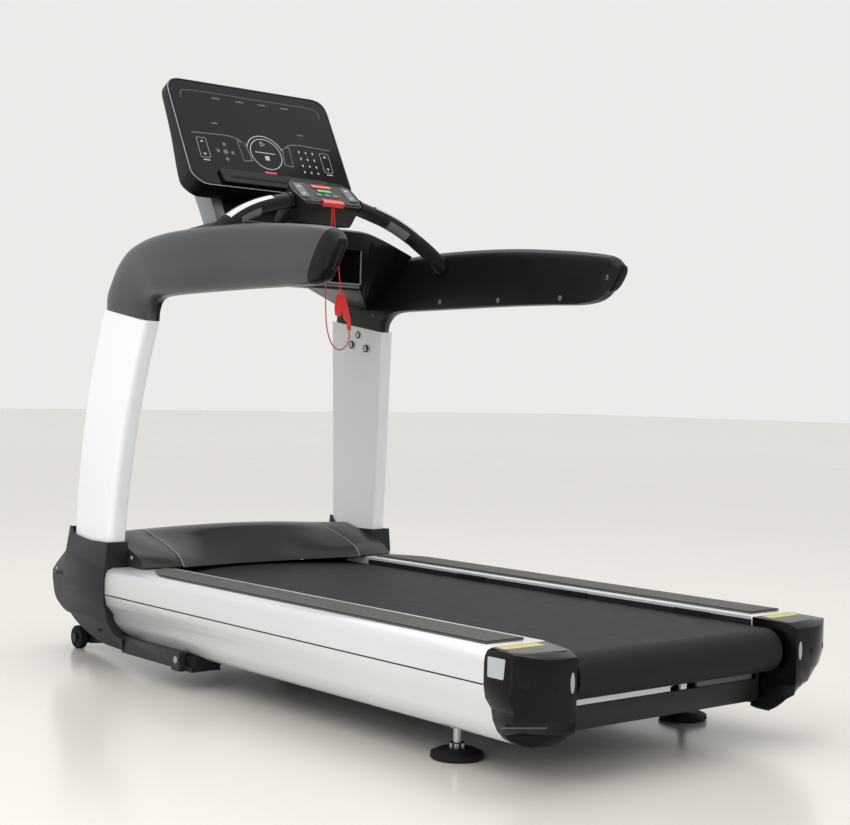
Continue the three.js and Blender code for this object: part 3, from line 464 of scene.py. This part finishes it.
def cap_details(tag, side):
    """Holes, a painted highlight along a slot, adjuster oval and blank labels of an end cap."""
    cap_mark(f"cap_holes_{tag}", [ellipse(440, 203, 6.5), ellipse(378, 199, 6.5)], side, "rubber")
    # A grey line along the low slot is a painted highlight on the gloss black cap.
    cap_mark(f"cap_slot_highlight_{tag}", [box_outline(378, 448, 116, 120, 1.9)], side, "label_grey_and_slot_highlight")
    cap_mark(f"cap_oval_{tag}", [ellipse(340, 202, 5.5, 20)], side, "steel")
    cap_top(f"cap_band_{tag}", [(338, -907), (440, -907), (438, -930), (338, -932)], side,
            "label_yellow")
    cap_top(f"cap_pad_{tag}", [(330, -935), (440, -933), (452, -958), (420, -978), (345, -985),
                               (331, -985)], side, "label_grey_and_slot_highlight")
    slab(f"cap_panel_{tag}", eased([(-914, 250, 3), (-962, 250, 3), (-958, 212, 3), (-914, 212, 3)]),
         "x", *across(466, 467.4, side), "print")


def deck_screws(tag, side):
    outward = (side, 0, 0)
    screw_head(f"cover_screw_{tag}", (side * 399.5, 984, 221), outward, 4.6, "print")
    screw_head(f"flange_screw_{tag}", (side * 399.5, 556, 290), outward, 4.6, "print")
    screw_head(f"boot_screw_{tag}", (side * 463, 607, 100), outward, 5, "rubber")
    screw_head(f"pivot_bolt_{tag}", (side * 449, 243, 74), outward, 9, "steel", hex_size=0.55)


def belt_edge(tag, side):
    """The dark lining of the rail beside the belt, and the belt's guides."""
    slab(f"rail_liner_{tag}", box_outline(*across(309.1, 309.9, side), 237.5, 257.5), "y", -901, 470,
         "frame_paint")
    guides = [box_outline(*across(303, 309.8, side), y, y + 105) for y in (-786, -402, -30)]
    islands(f"belt_guides_{tag}", guides, "z", 253.2, 258.5, "rubber")


for tag, side in SIDES:
    side_shells(tag)
    rail_lines(tag, side)
    tread_relief(tag, side)
    cap_details(tag, side)
    deck_screws(tag, side)
    belt_edge(tag, side)

refined("running_belt", "belt", 0.0, 30)
refined("cross_member_rear", "frame_paint", 1.5, 40)

# CAD nodes that keep their own mesh and only take a material.
PLAIN_NODES = {
    "deck": ("deck_board",),
    "frame_paint": ("chassis_beam_l", "chassis_beam_r", "cross_member_front", "lift_frame"),
    "steel": ("rear_roller", "drive_roller", "motor_rotor", "lift_screw"),
    "aluminium": ("drive_motor", "motor_controller", "lift_motor"),
    "rubber": ("drive_belt", "front_wheel_l", "front_wheel_r", "levelling_foot_l", "levelling_foot_r"),
    "black_shell": ("power_inlet",),
    "red": ("power_switch", "safety_key", "stop_button", "safety_clip"),
    "hood_grey": ("front_pan",),
    "green": ("start_button",),
    "grey_key": ("speed_key_1", "speed_key_2", "speed_key_3", "incline_toggle", "speed_toggle"),
}
for look, nodes in PLAIN_NODES.items():
    for node in nodes:
        if not frame["nodes"][node].hide_render:
            frame["nodes"][node].data.materials.clear()
            frame["nodes"][node].data.materials.append(LOOKS[look])

for tag, side in SIDES:
    slab(f"jack_block_{tag}", box_outline(*across(352, 428, side), 186, 256, 4), "z", 61, 84, "rubber",
         bevel=1.0)

# White and grey strips set behind the slit between the belt and the rear cross member: painted light, standing
# for the bright floor seen through the gap.
SLIT = ("y", -923, -917)
islands("slit_painted_light", [box_outline(-300, 28, 134.3, 150, 1), box_outline(60, 78, 134.3, 150, 1)], *SLIT,
        "white_paint")
# The grey band is dimmer painted light seen through the same gap.
islands("slit_painted_dim_light", [box_outline(110, 287, 134.3, 148, 2)], *SLIT, "grey_key")


def foot_stem(tag, side):
    """Threaded stem and nuts of a levelling foot, which move with it."""
    for name, profile, count in (("nuts", [(20.5, 9), (20.5, 17), (31.5, 17), (31.5, 9)], 6),
                                 ("nut_top", [(62, 9), (62, 16), (74, 16), (74, 9)], 6),
                                 ("stem", [(30, 8.6), (62, 8.6)], 24)):
        turned(f"foot_{name}_{tag}", profile, (side * 340, -685, 0), (0, 0, 1), "steel", count=count,
               body=BODY_OF[f"levelling_foot_{tag}"])


for tag, side in SIDES:
    foot_stem(tag, side)


# ---- Motor hood and corner covers -------------------------------------------------------
SEAM_X, HOOD_HALF = 286, 400


def hood_line(x):
    """The hood's outline from its tail to its nose, in the plane at an X."""
    wide = min(1, abs(x) / SEAM_X) ** 2
    side = max(0, (abs(x) - SEAM_X) / (HOOD_HALF - SEAM_X))
    tail = (mix(603, 482, wide) + 9 * side, mix(256, 269, wide))
    crest = (mix(655, 686, wide) + 15 * side, mix(352, 345, wide) - 3 * side)
    swell = mix(0.92, 0.56, wide)
    rise = [(mix(tail[0], crest[0], t), mix(tail[1], crest[1], t ** swell)) for t in (0.1, 0.25, 0.45, 0.7)]
    return [tail, *rise, crest, (750, crest[1] - 2), (810, 330 - 3 * side), (870, 308 - 3 * side),
            (930, 276), (980, 240), (1007, 218), (1010, 210)]


def hood_skin(name, x0, x1, count, look, node):
    rings = []
    for k in range(count + 1):
        x = mix(x0, x1, k / count)
        line = through(hood_line(x), 5)
        under = [(y - 1.5, z - 3.2) for y, z in reversed(line)]
        rings.append([(x, y, z) for y, z in line + under])
    loft(name, rings, look, slot="hood_grey", stands_for=(node,), angle=50)


hood_skin("hood_skin", -SEAM_X, SEAM_X, 36, "hood_grey", "motor_hood")
for tag, side in SIDES:
    refined(f"corner_cover_{tag}", "hood_grey", 0.8, 35)
    inner, outer = side * (SEAM_X + 0.1), side * (SEAM_X + 2.0)
    seam = [[(inner, y, z + 0.35), (outer, y, z + 0.35), (outer, y, z + 0.35 - 2), (inner, y, z + 0.35 - 2)]
            for y, z in through(hood_line(SEAM_X + 0.2), 5)]
    loft(f"hood_seam_{tag}", seam, "post_grey")


# ---- Uprights ---------------------------------------------------------------------------
def quadratic(a, b, c, t):
    return tuple(mix(mix(p, q, t), mix(q, r, t), t) for p, q, r in zip(a, b, c))


def upright_ring(t, side):
    """Section of the bowed upright, from t = 0 at the boot to t = 1 at the handrail."""
    rear = quadratic((584, 290), (558, 640), (499, 905), t)
    front = quadratic((780, 290), (782, 650), (734, 942), t)
    section = eased([(0, rear[0], 4), (0, front[0], 4), (48, front[0], 34), (48, rear[0], 22)], 7)
    ring = []
    for x, y in section:
        z = mix(rear[1], front[1], (y - rear[0]) / (front[0] - rear[0]))
        lean = (z - 345) / 580
        ring.append((side * (x + mix(406, 359, lean) + 36 * lean * (1 - lean)), y, z))
    return ring


for tag, side in SIDES:
    loft(f"upright_skin_{tag}", [upright_ring(k / 32, side) for k in range(33)], "white_paint",
         stands_for=(f"upright_{tag}",), slot="white_paint", angle=50)
    for i, (y, z) in enumerate(((611, 900), (643.5, 871), (574, 859))):
        screw_head(f"upright_bolt_{tag}_{i}", (side * 361, y, z), (-side, 0, 0), 8, "steel", hex_size=0.5)
        turned(f"upright_washer_{tag}_{i}", [(-1, 11), (0.9, 11), (1.2, 10)], (side * 361.5, y, z),
               (-side, 0, 0), "rubber")


# ---- Handrails --------------------------------------------------------------------------
STATIONS = [
    (499, 905.5, 734, 942.5, 359, 407), (496, 928, 726, 978, 359, 411), (482, 948, 694, 1012, 361, 417),
    (458, 959, 644, 1055, 366, 425), (425, 963, 578, 1089, 373, 433), (385, 964, 493, 1109, 380, 440),
    (310, 965, 390, 1120, 386, 444), (190, 966, 220, 1124, 388, 446), (0, 967, 0, 1119, 388, 446),
    (-150, 966, -165, 1107, 391, 450), (-268, 965, -306, 1092, 398, 456), (-316, 975, -361, 1080, 405, 455),
    (-340, 994, -385, 1060, 412, 451),
]
ARM = through(STATIONS, 8)
LAST = len(ARM) - 1
D_SECTION = through([(0.3, 0), (0.5, 0.002), (0.72, 0.03), (0.88, 0.11), (0.975, 0.27), (1, 0.5), (0.975, 0.73),
                     (0.88, 0.89), (0.72, 0.97), (0.5, 0.998), (0.3, 1)], 3)
INNER = eased([(0.02, 0.015, 0.03), (0.292, 0.002, 0.01), (0.292, 0.998, 0.01), (0.02, 0.93, 0.12)], 6)


def arm_at(index):
    low = min(int(index), LAST - 1)
    return [mix(a, b, index - low) for a, b in zip(ARM[low], ARM[low + 1])]


def arm_ring(low_index, high_index, section, side):
    low, high = arm_at(low_index), arm_at(high_index)
    ring = []
    for share, up in section:
        inner, outer = mix(low[4], high[4], up), mix(low[5], high[5], up)
        ring.append((side * mix(inner, outer, share), mix(low[0], high[2], up), mix(low[1], high[3], up)))
    return ring


def tip_rings(section, side, reach):
    """Rings that round off the rear end of the handrail."""
    end = arm_ring(LAST, LAST, section, side)
    centre = sum((Vector(p) for p in end), Vector()) / len(end)
    out = []
    for k in (1, 2, 3, 4, 5):
        a = math.radians(90 * k / 5)
        size, push = mix(0.45, 1, math.cos(a)), reach * math.sin(a)
        out.append([tuple(centre + (Vector(p) - centre) * size + Vector((0, -push, -push * 0.3))) for p in end])
    return out


SPLIT_LOW, SPLIT_HIGH = 81.0, 86.0  # where the black tip starts, below and above
ARM_SCREWS = ((389, 273, 987), (389, 32, 983), (394, -198, 982), (409, -346, 1030))
for tag, side in SIDES:
    full = SPLIT_LOW - 8
    shell = [arm_ring(k, k, D_SECTION, side) for k in range(int(full))]
    shell += [arm_ring(mix(full, SPLIT_LOW, t), mix(full, SPLIT_HIGH, t), D_SECTION, side)
              for t in (0, 0.25, 0.5, 0.75, 1)]
    loft(f"arm_outer_{tag}", shell, "dark_shell", slot="dark_shell", stands_for=(f"handrail_outer_{tag}",),
         angle=50)
    tip = [arm_ring(mix(SPLIT_LOW, LAST, t), mix(SPLIT_HIGH, LAST, t), D_SECTION, side)
           for t in (0.04, 0.2, 0.4, 0.6, 0.8, 1)]
    loft(f"arm_tip_{tag}", tip + tip_rings(D_SECTION, side, 9), "tip_black", angle=50)
    edge = [arm_ring(mix(SPLIT_LOW, LAST, t), mix(SPLIT_HIGH, LAST, t), D_SECTION, side) for t in (0, 0.04)]
    loft(f"arm_tip_line_{tag}", edge, "rubber", angle=50)
    panel = [arm_ring(k, k, INNER, side) for k in range(LAST + 1)]
    loft(f"arm_inner_{tag}", panel + tip_rings(INNER, side, 4), "black_shell", slot="black_shell",
         stands_for=(f"handrail_inner_{tag}",), angle=50)
    for i, (x, y, z) in enumerate(ARM_SCREWS):
        screw_head(f"arm_screw_{tag}_{i}", (side * x, y, z), (-side, 0, 0), 7, "grey_key", hex_size=0.6)
    screw_head(f"collar_screw_{tag}", (side * 360.5, 538, 955), (-side, 0, 0), 6, "grey_key", hex_size=0.6)


# ---- Grip bars --------------------------------------------------------------------------
GRIP = through([(97, 291, 1226), (154, 294, 1213), (212, 290, 1195), (266, 284, 1170), (322, 274, 1134),
                (362, 266, 1103), (396, 261, 1071)], 14)


def sweep(line, radius_at, count=28):
    rings = []
    for i, here in enumerate(line):
        way = (Vector(line[min(i + 1, len(line) - 1)]) - Vector(line[max(i - 1, 0)])).normalized()
        side = Vector((0, 1, 0)).cross(way).normalized()
        other = way.cross(side)
        rings.append([tuple(Vector(here) + (side * math.cos(a) + other * math.sin(a)) * radius_at(i))
                      for a in (2 * math.pi * k / count for k in range(count))])
    return rings


for tag, side in SIDES:
    line = mirror(GRIP, side)
    kept = [p for p in line if 104 < abs(p[0]) < 389]
    loft(f"grip_{tag}", sweep(kept, lambda i: 20.0), "black_shell", stands_for=(f"grip_bar_{tag}",),
         slot="black_shell", angle=50)
    held = through([p for p in line if 160 < abs(p[0]) < 300], 2)
    for label, mid, half, look in (("top", 90, 52, "steel"), ("low", 218, 34, "grey_key")):
        arcs = [math.radians(mid + half * k / 8) for k in range(-8, 9)]
        rings = []
        for i, here in enumerate(held):
            way = (Vector(held[min(i + 1, len(held) - 1)]) - Vector(held[max(i - 1, 0)])).normalized()
            up = (Vector((0, 0, 1)) - way * way.z).normalized()
            out = way.cross(up)
            out = out if out.y > 0 else -out
            rings.append([tuple(Vector(here) + (out * math.cos(a) + up * math.sin(a)) * r)
                          for r, span in ((22.0, arcs), (20.2, arcs[::-1])) for a in span])
        if label == "low":
            rings = rings[len(rings) // 3:]
            rings = rings[: len(rings) * 3 // 4]
        loft(f"plate_{label}_{tag}", rings, look, angle=40,
             **({"stands_for": (f"pulse_plate_{tag}",), "slot": "steel"} if label == "top" else {}))
    fine = through([p for p in line if 300 < abs(p[0]) < 384], 4)
    loft(f"grip_ribs_{tag}", sweep(fine, lambda i: 20.3 + 0.5 * (i % 4 in (1, 2))), "rubber", angle=60)
    for i, (lo, hi) in enumerate(((104, 112), (372, 386))):
        ring = [p for p in through(line, 3) if lo < abs(p[0]) < hi]
        loft(f"grip_ring_{tag}_{i}", sweep(ring, lambda k: 22.4), "gloss_black" if i == 0 else "black_shell",
             angle=50, bevel=0.6)


# ---- Tray, neck and pod -----------------------------------------------------------------
refined("centre_tray", "black_shell", 2.0, 38, 3)
refined("control_pod", "black_shell", 1.6, 35, 3)
# Light grey bars along the cubby's top and side edges: painted highlight where the edges catch the light.
edge_highlight = [bar([(-186, 1027), (186, 1027)], 3.2), bar([(187, 1026), (187, 1119)], 1.8),
       bar([(-187, 1026), (-187, 1119)], 1.8)]
islands("cubby_edge_highlight", edge_highlight, "y", 370.6, 374, "post_grey")
islands("cubby_sill", [box_outline(-184, 184, 1016, 1023, 3)], "y", 371.5, 373.4, "grey_key")
for tag, side in SIDES:
    refined(f"console_post_{tag}", "post_grey", 3.0, 35, 3)
    screw_head(f"tray_screw_{tag}", (side * 385, 465, 1085), (-side, -0.5, 0.1), 5, "rubber", hex_size=0.6)
POD = Matrix.Translation((0, 284, 1251)) @ Matrix.Rotation(math.radians(39), 4, "X")
pod_rim = eased([(-86, -54, 8), (86, -54, 8), (103, -8, 10), (100, 30, 10), (78, 52, 10), (-78, 52, 10),
                 (-100, 30, 10), (-103, -8, 10)], 5)
islands("pod_rim", [bar([*pod_rim, pod_rim[0]], 1.0)], "z", -0.2, 0.5, "grey_key", at=POD)
plate = [bar([(-60, -46), (-60, 34), (-48, 42), (48, 42), (60, 34), (60, -46)], 1.2)]
islands("pod_plate_line", plate, "z", -0.2, 0.5, "print_grey", at=POD)
marks = [[(side * 76 - 7, 16), (side * 76 + 7, 16), (side * 76, 24)] for side in (-1, 1)]
marks += [[(side * 76 - 7, -12), (side * 76, -20), (side * 76 + 7, -12)] for side in (-1, 1)]
islands("pod_marks_speed", marks[1::2], "z", 2.2, 2.9, "print", at=POD, body="speed_toggle")
islands("pod_marks_incline", marks[0::2], "z", 2.2, 2.9, "print", at=POD, body="incline_toggle")


# ---- Console ----------------------------------------------------------------------------
FACE = Matrix.Translation((0, 567.6, 1386.5)) @ Matrix.Rotation(math.radians(-28.5), 4, "X")
refined("console_shell", "black_shell", 2.0, 35, 3)
window = eased([(-258.4, 211.4, 46), (-258.4, -94, 14), (-231, -122.4, 24), (231, -122.4, 24),
                (258.4, -94, 14), (258.4, 211.4, 46)], 10)
slab("console_glass", window, "y", 0.8, 4.8, "face_black", at=FACE, slot="gloss_black",
     stands_for=("console_face",), bevel=0.8)


def printed(name, outlines, look="print", lo=0.45, hi=1.0):
    """Thin print on the console's face."""
    islands(name, outlines, "y", lo, hi, look, at=FACE)


printed("window_line", [bar(through([(-229, 150), (-226, 172), (-208, 179), (0, 181), (208, 179), (226, 172),
                                     (229, 150)], 8), 1.6)], "print_grey")
for tag, side in SIDES:
    printed(f"guide_line_{tag}", [bar(through([(side * 227, 38), (side * 170, 41), (side * 105, 41),
                                               (side * 79, 33), (side * 64, 20)], 6), 3.0)], "print_grey")
    printed(f"side_tab_{tag}", [eased([(side * 86.5, 31.5, 4), (side * 60, 23.4, 4), (side * 51, -34, 4),
                                       (side * 82, -38, 4)])], "print_grey")
    printed(f"side_tab_core_{tag}", [eased([(side * 83.5, 28, 4), (side * 63, 21, 4), (side * 55, -31, 4),
                                            (side * 80, -34, 4)])], "face_black", 0.2, 0.8)
printed("key_ring", [arc_bar(0, -4, 60, 2.4, 18, 144), arc_bar(0, -4, 50, 2.2, 0, 359)], "print")
printed("ring_marks", [bar([(-36, 0), (30, 0)], 2.4), bar([(-10, 36), (-10, 22), (4, 29), (-10, 36)], 2.0),
                       box_outline(-7, 7, -24, -10, 1)])
boxes = []
for u0, u1 in ((-217, -187), (187, 217)):
    line = box_outline(u0, u1, -40, 24, 5)
    boxes.append(bar([*line, line[0]], 0.9))
    mid = (u0 + u1) / 2
    boxes += [[(mid - 5, 10), (mid + 5, 10), (mid, 17)], [(mid - 5, -26), (mid, -33), (mid + 5, -26)]]
    boxes.append(box_outline(mid - 10, mid + 10, -49.5, -46.5))
printed("level_keys", boxes)
pad = [ellipse(u, v, 5.6) for u, v in ((-132, 11), (-157, -12), (-111, -14), (-134, -37))]
pad += [ellipse(-133, -13, 7.5)]
printed("direction_pad", pad, "print_grey")
numbers = []
for i, u in enumerate((116, 139, 162)):
    for j, v in enumerate((19, -4, -27, -48)):
        numbers.append(box_outline(u - 2.2, u + 2.2, v - 3.6, v + 3.6, 1))
printed("number_keys", numbers)
labels = [box_outline(u - 13, u + 13, v - 2, v + 2)
          for u, v in ((-117, 165), (-39, 165), (34, 166), (111, 166))]
labels += [box_outline(u - 10, u + 10, v - 2, v + 2) for u, v in ((-143, 79), (137, 78))]
printed("window_labels", labels, "print_grey")
printed("key_label", [box_outline(-22, 16, -69, -63, 1)], "red")
printed("lower_line", [bar([(-133, -74.5), (127, -74.5)], 1.6)], "print_grey")
slab("console_shelf", eased([(-176, -78, 6), (176, -78, 6), (170, -119, 8), (-170, -119, 8)]), "y", -9, 2.2,
     "black_shell", at=FACE, bevel=2.0, segments=3)
slab("shelf_groove", box_outline(-150, 150, -104, -98, 3), "y", -9.6, -8.2, "rubber", at=FACE)
face_rim = eased([(-263.4, 216.4, 48), (-263.4, -96, 14), (-234, -127.4, 24), (234, -127.4, 24),
                  (263.4, -96, 14), (263.4, 216.4, 48)], 10)
printed("console_rim", [bar([*face_rim, face_rim[0]], 1.4)], "post_grey", 0.1, 1.6)


# ---- Floor and light --------------------------------------------------------------------
def floor():
    mesh = bpy.data.meshes.new("floor")
    reach = 40
    mesh.from_pydata([(-reach, -reach, 0), (reach, -reach, 0), (reach, reach, 0), (-reach, reach, 0)], [],
                     [(0, 1, 2, 3)])
    mesh.materials.append(finish("floor", (224, 220, 214), 0.2, 0, 0.01, 0.6, 30, 0.01, rough_spread=0.03))
    obj = bpy.data.objects.new("floor", mesh)
    bpy.context.scene.collection.objects.link(obj)


def area_light(name, place, target, size, power):
    data = bpy.data.lights.new(name, "AREA")
    data.shape = "RECTANGLE"
    data.size, data.size_y = size
    data.energy = power
    light = bpy.data.objects.new(name, data)
    light.location = place
    light.rotation_mode = "QUATERNION"
    light.rotation_quaternion = (Vector(target) - Vector(place)).to_track_quat("-Z", "Y")
    bpy.context.scene.collection.objects.link(light)


floor()
world = bpy.data.worlds.new("studio")
world.use_nodes = True
world.node_tree.nodes["Background"].inputs[0].default_value = (0.93, 0.92, 0.9, 1)
world.node_tree.nodes["Background"].inputs[1].default_value = 0.9
bpy.context.scene.world = world
bpy.context.scene.view_settings.view_transform = "Standard"
area_light("key", (-3.2, -1.2, 3.4), (0, 0, 0.6), (2.5, 2.5), 50)
area_light("side", (-3.6, -1.6, 1.5), (-0.4, 0.2, 0.95), (1.4, 2.2), 26)
area_light("top", (0.5, 0.5, 4.2), (0, 0, 0.4), (4, 4), 70)
